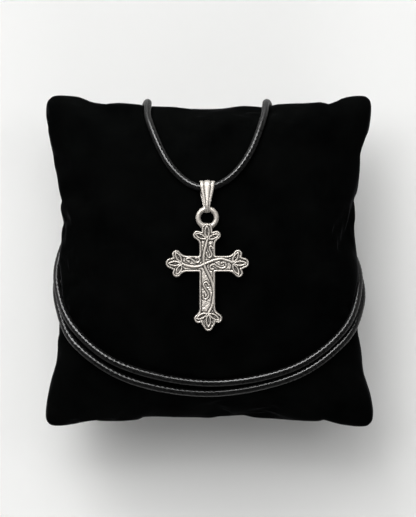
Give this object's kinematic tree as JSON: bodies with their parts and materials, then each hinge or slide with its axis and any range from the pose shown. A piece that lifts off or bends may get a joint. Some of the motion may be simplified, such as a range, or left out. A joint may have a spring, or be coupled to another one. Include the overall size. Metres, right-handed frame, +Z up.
{
  "type": "cross necklace on a display pillow",
  "caption": "Cast cross pendant with leaf-shaped ends on a tapered bail and a thin black cord, wrapped round a small velvet display pillow.",
  "frame": {"origin": "centre of the pillow's footprint, on the surface that the pillow lies on", "axes": "+Z up out of the pillow's face, +Y from the foot of the cross to its ring, +X to the right as the cross is read"},
  "size_m": [0.08, 0.0812, 0.0372],
  "materials": {
    "velvet": "near-black short-pile velvet",
    "waxed_cord": "black waxed round cord with a soft sheen",
    "silver": "antiqued silver-coloured casting, bright on the raised parts and dark in the recesses",
    "clasp_metal": "plain silver-coloured barrel"
  },
  "bodies": {
    "root": {"display_pillow": "velvet", "cord": "waxed_cord", "bail": "silver", "cross_pendant": "silver", "clasp": "clasp_metal"}
  },
  "joints": []
}
